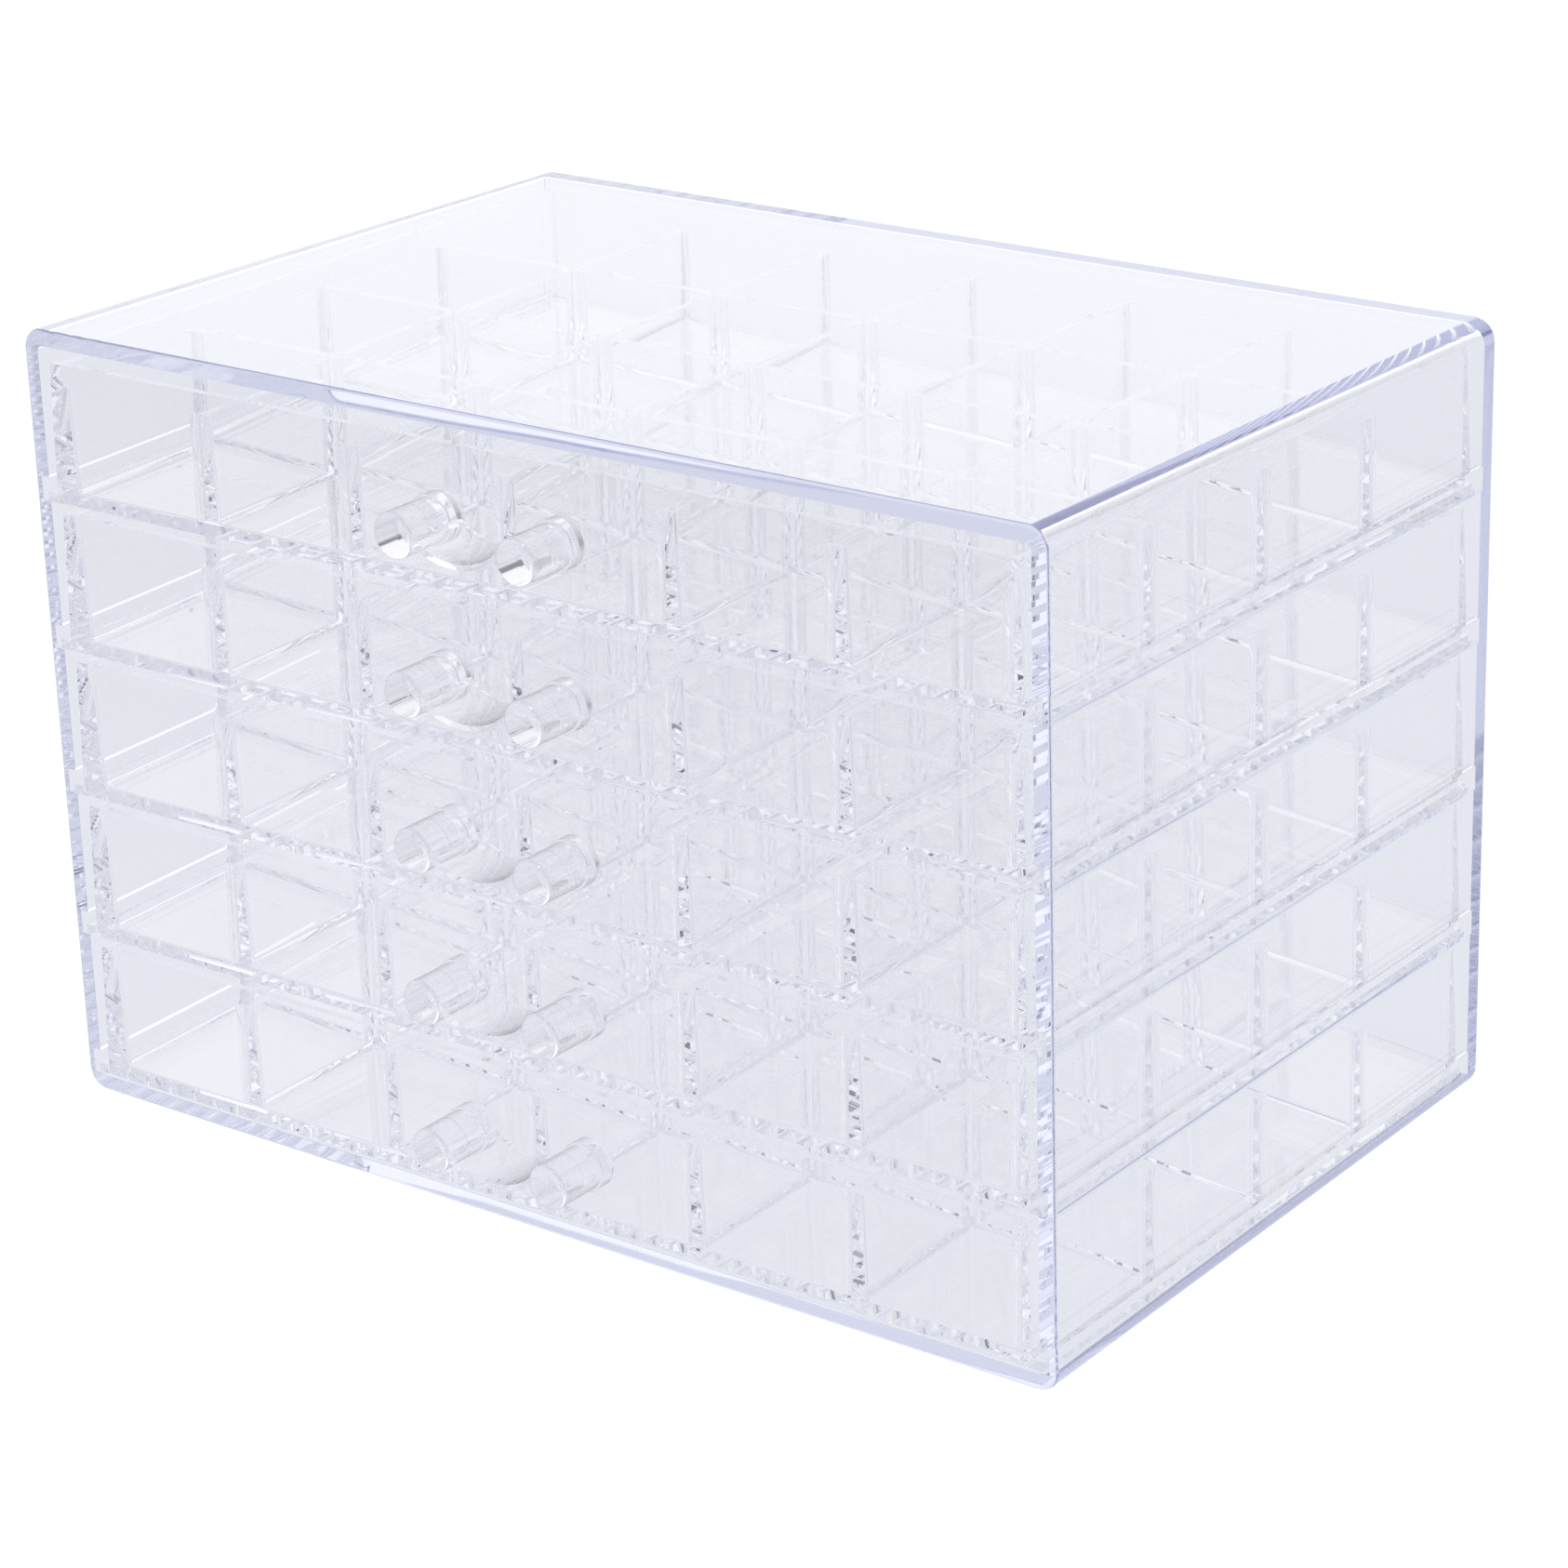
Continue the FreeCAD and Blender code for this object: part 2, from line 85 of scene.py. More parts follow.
def put(tree, kind, values=(), **settings):
    """Add a node; values are its inputs in order, numbers or sockets, None to skip one."""
    node = tree.nodes.new(kind)
    for name, setting in settings.items():
        setattr(node, name, setting)
    for socket, value in zip(node.inputs, values):
        if isinstance(value, bpy.types.NodeSocket):
            tree.links.new(value, socket)
        elif value is not None:
            socket.default_value = value
    return node


def calculate(tree, operation, *values):
    """The result of one sum."""
    return put(tree, "ShaderNodeMath", values, operation=operation).outputs[0]


def vector(tree, **axes):
    """A vector from what is given for X, Y and Z, zero where nothing is."""
    return put(tree, "ShaderNodeCombineXYZ", [axes.get(a, 0.0) for a in AXES]).outputs[0]


# %% Start and end of a tree
def start_tree(name, sizes):
    """A tree with a mesh in, a mesh out and one named input for each size."""
    tree = bpy.data.node_groups.new(name, "GeometryNodeTree")
    tree.interface.new_socket("Mesh", in_out="INPUT", socket_type="NodeSocketGeometry")
    for label, value in sizes.items():
        kind = "NodeSocketInt" if isinstance(value, int) else "NodeSocketFloat"
        tree.interface.new_socket(label, in_out="INPUT", socket_type=kind)
    tree.interface.new_socket("Mesh", in_out="OUTPUT", socket_type="NodeSocketGeometry")
    given = tree.nodes.new("NodeGroupInput").outputs
    return tree, {label: given[label] for label in ["Mesh", *sizes]}


def end_tree(tree, mesh, finish):
    """Realize whatever was repeated, give it its finish and send it out."""
    real = put(tree, "GeometryNodeRealizeInstances", [mesh]).outputs[0]
    painted = put(tree, "GeometryNodeSetMaterial", [real, None, finish]).outputs[0]
    put(tree, "NodeGroupOutput", [painted])


# %% [markdown]
# These four make the steel: a block, sides that lean, a line of copies, and one body out of
# many.

# %% Blocks, slopes and copies
def block(tree, size, centre):
    """A cuboid of the given size about a centre; both are vectors."""
    cube = put(tree, "GeometryNodeMeshCube", [size]).outputs[0]
    return put(tree, "GeometryNodeSetPosition", [cube, None, None, centre]).outputs[0]


def lean(tree, mesh, across, along, slope, start):
    """Move a block's sides inwards across one axis, by slope times the way along another."""
    position = tree.nodes.new("GeometryNodeInputPosition").outputs[0]
    here = put(tree, "ShaderNodeSeparateXYZ", [position]).outputs
    side = calculate(tree, "SIGN", here[AXES.index(across)])
    run = calculate(tree, "SUBTRACT", here[AXES.index(along)], start)
    move = calculate(tree, "MULTIPLY", calculate(tree, "MULTIPLY", side, run),
                     calculate(tree, "MULTIPLY", slope, -1.0))
    shift = vector(tree, **{across: move})
    return put(tree, "GeometryNodeSetPosition", [mesh, None, None, shift]).outputs[0]


def copies(tree, mesh, count, step):
    """Repeat a mesh in a straight line."""
    line = put(tree, "GeometryNodeMeshLine", mode="OFFSET")
    tree.links.new(count, line.inputs["Count"])
    tree.links.new(step, line.inputs["Offset"])
    return put(tree, "GeometryNodeInstanceOnPoints", [line.outputs[0], None, mesh]).outputs[0]


def unite(tree, *meshes):
    """Exact union."""
    node = put(tree, "GeometryNodeMeshBoolean", operation="UNION", solver="EXACT")
    node.inputs["Self Intersection"].default_value = True
    for mesh in meshes:
        tree.links.new(mesh, node.inputs["Mesh 2"])
    return node.outputs[0]


# %% [markdown]
# A tree or a boolean is only a recipe on an object.  Each is run once and its result kept as
# the object's plain mesh, so nothing is left to work out later.

# %% From recipes to plain meshes
def mesh_object(name, mesh):
    """A new object in the scene, at the origin."""
    obj = bpy.data.objects.new(name, mesh)
    bpy.context.collection.objects.link(obj)
    return obj


def settle(obj):
    """Replace an object's mesh by what its modifiers make of it."""
    graph = bpy.context.evaluated_depsgraph_get()
    result = bpy.data.meshes.new_from_object(obj.evaluated_get(graph))
    obj.modifiers.clear()
    old, obj.data = obj.data, result
    bpy.data.meshes.remove(old)
    return result


def grow(obj, tree, sizes):
    """Run a tree on an object and keep the result as its mesh."""
    modifier = obj.modifiers.new(tree.name, "NODES")
    modifier.node_group = tree
    for item in tree.interface.items_tree:
        if item.in_out == "INPUT" and item.name in sizes:
            modifier[item.identifier] = sizes[item.name]
    mesh = settle(obj)
    print(tree.name, "->", len(mesh.polygons), "faces")
    return mesh


def shape(obj, operation, *others):
    """Add other objects to one, or cut them from it, and use them up."""
    for other in others:
        change = obj.modifiers.new(other.name, "BOOLEAN")
        change.operation, change.solver, change.object = operation, "EXACT", other
    mesh = settle(obj)
    for other in others:
        bpy.data.objects.remove(other)
    print(obj.name, operation.lower(), len(others), "->", len(mesh.polygons), "faces")


# %% [markdown]
# ## Clear plastic
# Clear polystyrene bends light strongly and swallows a little red and green on the way, so
# thin walls look colourless while a long way through an edge looks violet-blue.  The colour
# therefore comes from absorption inside the skin, not from paint on it.  In a tray it shows
# as grey-violet bands where light runs the length of a floor or a rib.  The surface is
# polished steel copied in plastic: glossy, with slow waves where the melt cooled.
#
# The pulls stand in front of a busy pattern of ribs, so their outlines get painted shade: their
# base colour is darkened a little wherever the surface turns away from the viewer.

# %% Clear plastic finish
BENDING = 1.49                      # index of refraction
PAINTED_EDGE_SHADE = 0.05                      # painted shade: base colour at the very edge of a pull
PAINTED_SHADE_FROM = 0.5                  # how far the skin has turned away where the painted shade begins
TROUGH, CREST = 0.4, 0.7            # low and high values of the waves' noise
RIPPLE_STRENGTH, CREST_ROUGHNESS = 0.35, 0.02


def clear_plastic(name, wave_size, wave_depth, tint=(1.0, 1.0, 1.0), front=None):
    """A refracting plastic; wave_size is the distance between slow ripples, in metres.

    Whatever stands out in front of the plane y = front has painted shade on its outline.
    """
    finish = bpy.data.materials.new(name)
    finish.use_nodes = True
    tree = finish.node_tree
    tree.nodes.clear()
    place = tree.nodes.new("ShaderNodeTexCoord").outputs["Object"]

    slow = put(tree, "ShaderNodeTexNoise", [place, None, 1.0 / wave_size, 1.0, 0.5])
    ripple = put(tree, "ShaderNodeBump", [RIPPLE_STRENGTH, wave_depth])
    tree.links.new(slow.outputs[0], ripple.inputs["Height"])
    # Mirror smooth in the troughs of the waves, a touch rougher on their crests.
    polish = put(tree, "ShaderNodeMapRange",
                 [slow.outputs[0], TROUGH, CREST, 0.0, CREST_ROUGHNESS])

    skin = put(tree, "ShaderNodeBsdfPrincipled")
    for label, value in {"Base Color": (*tint, 1.0), "IOR": BENDING,
                         "Transmission Weight": 1.0}.items():
        skin.inputs[label].default_value = value
    if front is not None:
        # Painted shade: the pulls' base colour darkens where the skin turns away.
        along = put(tree, "ShaderNodeSeparateXYZ", [place]).outputs["Y"]
        ahead = calculate(tree, "LESS_THAN", along, front)
        reach = calculate(tree, "MULTIPLY_ADD", ahead, PAINTED_EDGE_SHADE - 1.0, 1.0)
        facing = put(tree, "ShaderNodeLayerWeight", [0.5]).outputs["Facing"]
        shade = put(tree, "ShaderNodeMapRange", [facing, PAINTED_SHADE_FROM, 1.0, 1.0, reach])
        tree.links.new(shade.outputs[0], skin.inputs["Base Color"])
    tree.links.new(polish.outputs[0], skin.inputs["Roughness"])
    tree.links.new(ripple.outputs[0], skin.inputs["Normal"])
    out = tree.nodes.new("ShaderNodeOutputMaterial")
    tree.links.new(skin.outputs[0], out.inputs["Surface"])
    return finish


def swallow(finish, colour, density):
    """Let the inside of a plastic absorb light on its way; density is per metre."""
    tree = finish.node_tree
    inside = put(tree, "ShaderNodeVolumeAbsorption", [(*colour, 1.0), density])
    tree.links.new(inside.outputs[0], tree.nodes["Material Output"].inputs["Volume"])


case_plastic = clear_plastic("clear_case_plastic", wave_size=0.06, wave_depth=0.0003,
                             tint=(0.999, 0.999, 1.0))
swallow(case_plastic, colour=(0.18, 0.26, 0.80), density=1.3)
CLEAR_OF_FACE = 0.1 * MM            # painted shade starts this far before the drawers' faces
tray_plastic = clear_plastic("clear_tray_plastic", wave_size=0.05, wave_depth=0.00015,
                             front=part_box("drawer_1_front")[0].y - CLEAR_OF_FACE)
swallow(tray_plastic, colour=(0.41, 0.44, 0.70), density=1.6)
print("plastics:", case_plastic.name, "and", tray_plastic.name)

# %% [markdown]
# ## The case
# One deep moulding, open in front.  Its sides and top close in towards the back, and its
# four long edges are rounded.  The outer block is lofted from rings of points, because
# rings can carry the round lip of the rim, and so is the steel core that leaves the hollow.
# The five runner grooves follow a rule, so a node tree adds them to the core.  One boolean
# then cuts core and grooves from the block.

# %% Case sizes
case_low, case_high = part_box("case")
rim_y, case_depth = case_low.y, case_high.y - case_low.y
case_half, case_height = case_high.x, case_high.z
CASE_SLOPE = math.tan(math.radians(0.67))
BAY_SLOPE = math.tan(math.radians(0.4))
SIDE_WALL, TOP_WALL, BASE_WALL, BACK_WALL = 3.6 * MM, 3.3 * MM, 3.3 * MM, 2.0 * MM
CASE_CORNER, CEILING_CORNER, LIP_ROUND = 4.4 * MM, 1.2 * MM, 0.6 * MM
GROOVE_DEEP, GROOVE_HIGH = 2.0 * MM, 5.0 * MM
GROOVE_STOP = 1.1 * MM              # how far short of the back wall the grooves end
REST_GAP = 0.1 * MM                 # air under a runner lip
PITCH, DRAWERS = 30.2 * MM, 5
tray_boxes = {n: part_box("drawer_%d_floor" % n) for n in range(1, DRAWERS + 1)}
runner_foot = tray_boxes[DRAWERS][0].z - REST_GAP
print("case", round(case_depth / MM, 2), "deep,", round(case_height / MM, 2), "high")


# %% Outside of the case
LEAST_ROUND = 0.1 * MM              # no corner is drawn sharper than this


def rounded(left, right, low, high, radius, steps=6):
    """Points of a rounded rectangle, in the order its corners are met."""
    radius = max(radius, LEAST_ROUND)
    corners = ((right - radius, high - radius), (left + radius, high - radius),
               (left + radius, low + radius), (right - radius, low + radius))
    points = []
    for quarter, (cx, cy) in enumerate(corners):
        for step in range(steps + 1):
            angle = math.pi / 2 * (quarter + step / steps)
            points.append((cx + radius * math.cos(angle), cy + radius * math.sin(angle)))
    return points


def loft(name, rows):
    """Skin a line of equal rows of points and close both ends."""
    form = bmesh.new()
    rows = [[form.verts.new(point) for point in row] for row in rows]
    for near, far in zip(rows, rows[1:]):
        for i in range(len(near)):
            j = (i + 1) % len(near)
            form.faces.new((near[i], near[j], far[j], far[i]))
    form.faces.new(rows[0])
    form.faces.new(rows[-1])
    bmesh.ops.recalc_face_normals(form, faces=form.faces)
    mesh = bpy.data.meshes.new(name)
    form.to_mesh(mesh)
    form.free()
    return mesh_object(name, mesh)


def case_row(depth, inset):
    """The outline of the case at a depth behind the rim, drawn in by the lip's rounding."""
    half, high = case_half - CASE_SLOPE * depth, case_height - CASE_SLOPE * depth
    outline = rounded(inset - half, half - inset, inset, high - inset,
                      CASE_CORNER - inset, steps=10)
    return [(x, rim_y + depth, z) for x, z in outline]


def eased(radius, *degrees):
    """(distance along, inset) pairs that turn a sharp edge into a quarter round."""
    return [(radius * (1 - math.sin(math.radians(d))), radius * (1 - math.cos(math.radians(d))))
            for d in degrees]


front_rows = [case_row(out, inset) for out, inset in eased(LIP_ROUND, 90, 67.5, 45, 22.5, 0)]
back_rows = [case_row(case_depth - out, inset)
             for out, inset in eased(LIP_ROUND, 0, 30, 60, 90)]
case_glass = loft("case_moulding", front_rows + back_rows)
case_glass.data.materials.append(case_plastic)

# %% [markdown]
# The core for the hollow stands out of the open front, so that the boolean meets no two
# faces in one plane.  The grooves are blocks, one per drawer, with level tops and with sides
# that lean like the walls.  They end just short of the back wall.

# %% Hollow and runner grooves
inner_depth = case_depth - BACK_WALL
bay_half, ceiling = case_half - SIDE_WALL, case_height - TOP_WALL
PAST = 5.0 * MM                     # how far the cutters stand out of the open front


def bay_row(run, inset=0.0):
    """The outline of the hollow: round corners along the ceiling, square ones at the foot."""
    half, high = bay_half - BAY_SLOPE * run - inset, ceiling - CASE_SLOPE * run - inset
    points = rounded(-half, half, BASE_WALL, high, CEILING_CORNER - inset / 2)
    upper = points[:len(points) // 2]
    foot = [(-half, BASE_WALL + inset), (half, BASE_WALL + inset)]
    return [(x, rim_y + run, z) for x, z in upper + foot]


bay_rear = [bay_row(inner_depth - out, inset)
            for out, inset in eased(LIP_ROUND, 0, 30, 60, 90)]
bay = loft("bay_cutter", [bay_row(-PAST)] + bay_rear)
groove_sizes = {"Rim": rim_y, "Depth": inner_depth - GROOVE_STOP,
                "Half": bay_half + GROOVE_DEEP, "Foot": runner_foot,
                "Height": GROOVE_HIGH, "Pitch": PITCH, "Drawers": DRAWERS}
tree, size = start_tree("runner_grooves", groove_sizes)
reach = calculate(tree, "ADD", size["Depth"], PAST)
start = calculate(tree, "SUBTRACT", size["Rim"], PAST)
wide = calculate(tree, "MULTIPLY", size["Half"], 2.0)
mid_y = calculate(tree, "MULTIPLY_ADD", reach, 0.5, start)
mid_z = calculate(tree, "MULTIPLY_ADD", size["Height"], 0.5, size["Foot"])
groove = block(tree, vector(tree, X=wide, Y=reach, Z=size["Height"]),
               vector(tree, Y=mid_y, Z=mid_z))
groove = lean(tree, groove, "X", "Y", BAY_SLOPE, size["Rim"])
grooves = copies(tree, groove, size["Drawers"], vector(tree, Z=size["Pitch"]))
end_tree(tree, unite(tree, size["Mesh"], grooves), case_plastic)
grow(bay, tree, groove_sizes)
shape(case_glass, "DIFFERENCE", bay)

# %% [markdown]
# Moulded edges look sharp but never are.  A bevel narrower than a tenth of a millimetre
# gives each edge the thin bright or dark line that makes clear plastic readable, and
# weighted normals keep the wide faces optically flat beside it.

# %% Softened edges
SAME_POINT = 0.002 * MM             # corners closer than this become one
SAME_PLANE = math.radians(0.05)     # so do neighbouring faces that turn less than this
ROUND_FROM = math.radians(40)       # edges that turn more than this get a bevel
SHARP_FROM = math.radians(50)       # and those that turn more than this are shaded sharp


def soften(obj, width, steps=2):
    """Clean a cut mesh and round every edge sharper than the arcs it already has."""
    form = bmesh.new()
    form.from_mesh(obj.data)
    bmesh.ops.remove_doubles(form, verts=form.verts, dist=SAME_POINT)
    bmesh.ops.dissolve_limit(form, angle_limit=SAME_PLANE, verts=form.verts,
                             edges=form.edges)
    form.to_mesh(obj.data)
    form.free()
    bevel = obj.modifiers.new("edge_round", "BEVEL")
    bevel.width, bevel.segments = width, steps
    bevel.limit_method, bevel.angle_limit = "ANGLE", ROUND_FROM
    bevel.use_clamp_overlap = True
    mesh = settle(obj)
    print(obj.name, "softened:", len(mesh.polygons), "faces")


def even_normals(mesh):
    """Smooth shading that leaves large flats flat: normals weighted by face area."""
    for polygon in mesh.polygons:
        polygon.use_smooth = True
    form = bmesh.new()
    form.from_mesh(mesh)
    for edge in form.edges:
        edge.smooth = edge.calc_face_angle(0.0) < SHARP_FROM
    form.to_mesh(mesh)
    form.free()
    holder = mesh_object("normals_holder", mesh.copy())
    weighted = holder.modifiers.new("flats_first", "WEIGHTED_NORMAL")
    weighted.keep_sharp = True
    result = settle(holder)
    bpy.data.objects.remove(holder)
    return result


CASE_EDGE, TRAY_EDGE = 0.07 * MM, 0.05 * MM
soften(case_glass, CASE_EDGE)
case_glass.data = even_normals(case_glass.data)
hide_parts("case")
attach(case_glass, "case")

# %% [markdown]
# ## One tray
# Every drawer is the same moulding, so one is made at the height of the lowest drawer and
# then copied up.  The shell is a floor plate that stands out at the sides as the runner
# lips, and four walls on it.  It is drawn face by face, since each face is known exactly.

# %% Tray sizes
tray_low, tray_high = tray_boxes[DRAWERS]
front_low, front_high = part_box("drawer_5_front")
FACE_Y, LIP_REAR = front_low.y, tray_high.y
FLOOR_FOOT, FLOOR_TOP, FRONT_TOP = tray_low.z, tray_high.z, front_high.z
WALL_DROP, RIB_DROP, REAR_LIP = 0.5 * MM, 4.7 * MM, 0.4 * MM
SIDE_FOOT, FRONT_THICK, BACK_FOOT = 3.7 * MM, 2.3 * MM, 2.0 * MM
LIP_CORNER, TRAY_CORNER, INSIDE_CORNER = 3.0 * MM, 2.5 * MM, 2.0 * MM
WALL_TOP, RIB_TOP = FRONT_TOP - WALL_DROP, FRONT_TOP - RIB_DROP
LIP_HALF, TRAY_HALF, WALL_REAR = tray_high.x, front_high.x, LIP_REAR - REAR_LIP
INSIDE_HALF, INSIDE_FRONT = TRAY_HALF - SIDE_FOOT, FACE_Y + FRONT_THICK
INSIDE_REAR = WALL_REAR - BACK_FOOT
INNER_SLOPE, OUTER_SLOPE = math.tan(math.radians(1.2)), math.tan(math.radians(2.0))
print("compartments stand", round((RIB_TOP - FLOOR_TOP) / MM, 2), "mm deep below the rib tops")

# %% [markdown]
# The walls lean: outside they close in towards the top, inside they open towards it, as a
# tray must to leave its mould.  Above the ribs the inside steps back by a hair, which keeps
# the later cut for the compartments clear of the walls.

# %% Tray shell
LEDGE = 0.12 * MM                   # how far the walls step back above the ribs


def u_line(half, front, rear, radius, steps=6):
    """Points from the right front, round the two rear corners, to the left front."""
    points = [(half, front)]
    for quarter, cx in ((0, half - radius), (1, radius - half)):
        for step in range(steps + 1):
            angle = math.pi / 2 * (quarter + step / steps)
            points.append((cx + radius * math.cos(angle),
                           rear - radius + radius * math.sin(angle)))
    return points + [(-half, front)]


def tray_shell():
    """The closed shell of one tray, still solid up to the rib tops and without its pull."""
    form = bmesh.new()

    def raised(points, z):
        return [form.verts.new((x, y, z)) for x, y in points]

    def wall(lower, upper):
        for i in range(len(lower) - 1):
            form.faces.new((lower[i], lower[i + 1], upper[i + 1], upper[i]))

    out_wall = OUTER_SLOPE * (WALL_TOP - FLOOR_TOP)
    out_front = OUTER_SLOPE * (FRONT_TOP - FLOOR_TOP)
    in_rib, in_wall, in_front = (INNER_SLOPE * (top - FLOOR_TOP) + LEDGE
                                 for top in (RIB_TOP, WALL_TOP, FRONT_TOP))
    plate = u_line(LIP_HALF, FACE_Y, LIP_REAR, LIP_CORNER)
    narrow = [(x - math.copysign(BAY_SLOPE * (y - FACE_Y), x), y) for x, y in plate]
    lip_foot, lip_top = raised(narrow, FLOOR_FOOT), raised(narrow, FLOOR_TOP)
    wall_foot = raised(u_line(TRAY_HALF, FACE_Y, WALL_REAR, TRAY_CORNER), FLOOR_TOP)
    panel_rear = INSIDE_FRONT - in_wall
    wall_top = raised(u_line(TRAY_HALF - out_wall, panel_rear, WALL_REAR - out_wall,
                             TRAY_CORNER), WALL_TOP)
    inner_foot = raised(u_line(INSIDE_HALF + in_rib, INSIDE_FRONT - in_rib,
                               INSIDE_REAR + in_rib, INSIDE_CORNER), RIB_TOP)
    inner_top = raised(u_line(INSIDE_HALF + in_wall, panel_rear, INSIDE_REAR + in_wall,
                              INSIDE_CORNER), WALL_TOP)
    top_half = TRAY_HALF - out_front
    right, left = raised([(top_half, FACE_Y), (-top_half, FACE_Y)], FRONT_TOP)
    rear_right, rear_left = raised([(top_half, INSIDE_FRONT - in_front),
                                    (-top_half, INSIDE_FRONT - in_front)], FRONT_TOP)

    wall(lip_foot, lip_top)
    wall(wall_foot[1:-1], wall_top[1:-1])
    wall(inner_foot, inner_top)
    new = form.faces.new
    new(lip_foot)                                            # underside
    new(lip_top + wall_foot[::-1])                           # ledge over the lips
    new(wall_top + inner_top[::-1])                          # top of three walls
    new(inner_foot)                                          # level of the rib tops
    for foot, top, next_foot, next_top, face_top, back_top in (
            (wall_foot[0], wall_top[0], wall_foot[1], wall_top[1], right, rear_right),
            (wall_foot[-1], wall_top[-1], wall_foot[-2], wall_top[-2], left, rear_left)):
        new((foot, next_foot, next_top, top, back_top, face_top))
    new((lip_foot[0], lip_top[0], wall_foot[0], right, left, wall_foot[-1], lip_top[-1],
         lip_foot[-1]))                                      # front face
    new((right, rear_right, rear_left, left))                # top of the front panel
    new((wall_top[0], inner_top[0], inner_top[-1], wall_top[-1], rear_left, rear_right))
    new((inner_foot[0], inner_foot[-1], inner_top[-1], inner_top[0]))
    bmesh.ops.recalc_face_normals(form, faces=form.faces)
    loose = [edge for edge in form.edges if len(edge.link_faces) != 2]
    mesh = bpy.data.meshes.new("tray_moulding")
    form.to_mesh(mesh)
    form.free()
    print("tray shell:", len(mesh.polygons), "faces,", len(loose), "open edges")
    return mesh_object("tray_moulding", mesh)


tray = tray_shell()
tray.data.materials.append(tray_plastic)

# %% [markdown]
# ## Compartments
# What looks like a grid of ribs is made by 24 steel cores that stand in the plastic while it
# cools.  One core leans inwards on all sides so that it can be pulled, and its corners and
# foot are rounded.  A node tree sets it out in rows and columns, and the cores are cut from
# the solid block; the ribs are what is left between them.

# %% One core
COLUMNS, ROWS, RIB_FOOT = 6, 4, 2.9 * MM
column_step = (2 * INSIDE_HALF + RIB_FOOT) / COLUMNS
row_step = (INSIDE_REAR - INSIDE_FRONT + RIB_FOOT) / ROWS
CORNER, FOOT_ROUND = 1.8 * MM, 0.8 * MM


def core_row(height, inset=0.0):
    """The core's outline at a height over the floor, about the first compartment."""
    grown = INNER_SLOPE * height - inset
    half_x, half_y = (column_step - RIB_FOOT) / 2 + grown, (row_step - RIB_FOOT) / 2 + grown
    middle_x, middle_y = half_x - grown - INSIDE_HALF, INSIDE_FRONT + half_y - grown
    outline = rounded(middle_x - half_x, middle_x + half_x, middle_y - half_y,
                      middle_y + half_y, CORNER - inset)
    return [(x, y, FLOOR_TOP + height) for x, y in outline]


deep = RIB_TOP - FLOOR_TOP
foot_rows = [core_row(up, inset) for up, inset in eased(FOOT_ROUND, 90, 60, 30, 0)]
OVER = 0.6 * MM                     # how far a core stands above the ribs, drawn in there
core = loft("cores", foot_rows + [core_row(deep), core_row(deep + OVER, OVER)])

# %% [markdown]
# Columns first, then rows of columns: two lines of copies make the whole grid, and the
# spacing follows from the inside of the tray.

# %% Rows and columns
core_sizes = {"Columns": COLUMNS, "Column step": column_step, "Rows": ROWS,
              "Row step": row_step}
tree, size = start_tree("core_grid", core_sizes)
row = copies(tree, size["Mesh"], size["Columns"], vector(tree, X=size["Column step"]))
end_tree(tree, copies(tree, row, size["Rows"], vector(tree, Y=size["Row step"])), tray_plastic)
grow(core, tree, core_sizes)
shape(tray, "DIFFERENCE", core)
soften(tray, TRAY_EDGE)

# %% [markdown]
# ## The pull
# Two round pegs stand on the front, each in a slightly wider collar, and a thin crescent
# hangs between them for the fingertip.  A peg is a profile turned about its axis.  The
# crescent is the space between two arcs, drawn back towards the panel.

# %% Pegs and web
pull_low, pull_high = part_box("drawer_5_pull")
PEG_X = 14.1 * MM
axis_z = (pull_low.z + pull_high.z) / 2
peg_length = FACE_Y - pull_low.y
PEG_R, COLLAR_R = 4.5 * MM, pull_high.x - PEG_X
COLLAR_LONG, COLLAR_EASE, TIP_ROUND = 3.2 * MM, 0.15 * MM, 0.8 * MM
COLLAR_LEAN = 0.02 * MM             # how far a collar's face leans out, from rim to peg
INTO = 0.3 * MM                     # how far the pull runs into the panel before the union
PEG_SIDES = 48


def turned_peg(name, x):
    """A peg lathed from its profile of (distance in front of the panel, radius)."""
    profile = [(-INTO, COLLAR_R), (COLLAR_LONG - COLLAR_EASE, COLLAR_R),
               (COLLAR_LONG, COLLAR_R - COLLAR_EASE), (COLLAR_LONG + COLLAR_LEAN, PEG_R)]
    profile += [(peg_length - out, PEG_R - inset)
                for out, inset in eased(TIP_ROUND, 0, 20, 40, 60, 80, 90)]
    turns = [2 * math.pi * i / PEG_SIDES for i in range(PEG_SIDES)]
    return loft(name, [[(x + r * math.cos(t), FACE_Y - out, axis_z + r * math.sin(t))
                        for t in turns] for out, r in profile])


def hanging_arc(half, end_z, low_z, steps=16):
    """Points of a circle's arc that hangs from end_z at both sides to low_z in the middle."""
    dip = end_z - low_z
    radius = (half * half + dip * dip) / (2 * dip)
    reach = math.asin(half / radius)
    return [(radius * math.sin(reach * (2 * i / steps - 1)),
             low_z + radius * (1 - math.cos(reach * (2 * i / steps - 1))))
            for i in range(steps + 1)]


WEB_INSET = 0.3 * MM                # front edge of the web behind the peg tips
END_TOP, END_FOOT = 1.9 * MM, 0.5 * MM      # its ends, above and below the pegs' axis
MID_TOP, MID_FOOT = 2.8 * MM, 3.9 * MM      # its middle, both below the axis
WEB_END = 3.2 * MM                  # it ends inside each peg, this far from the peg's axis
end = PEG_X - WEB_END
outline = (hanging_arc(end, axis_z + END_TOP, axis_z - MID_TOP)
           + hanging_arc(end, axis_z - END_FOOT, axis_z - MID_FOOT)[::-1])
web = loft("web", [[(x, y, z) for x, z in outline]
                   for y in (pull_low.y + WEB_INSET, FACE_Y + INTO)])
shape(tray, "UNION", turned_peg("peg_left", -PEG_X), turned_peg("peg_right", PEG_X), web)
tray_mesh = even_normals(tray.data)
bpy.data.objects.remove(tray)

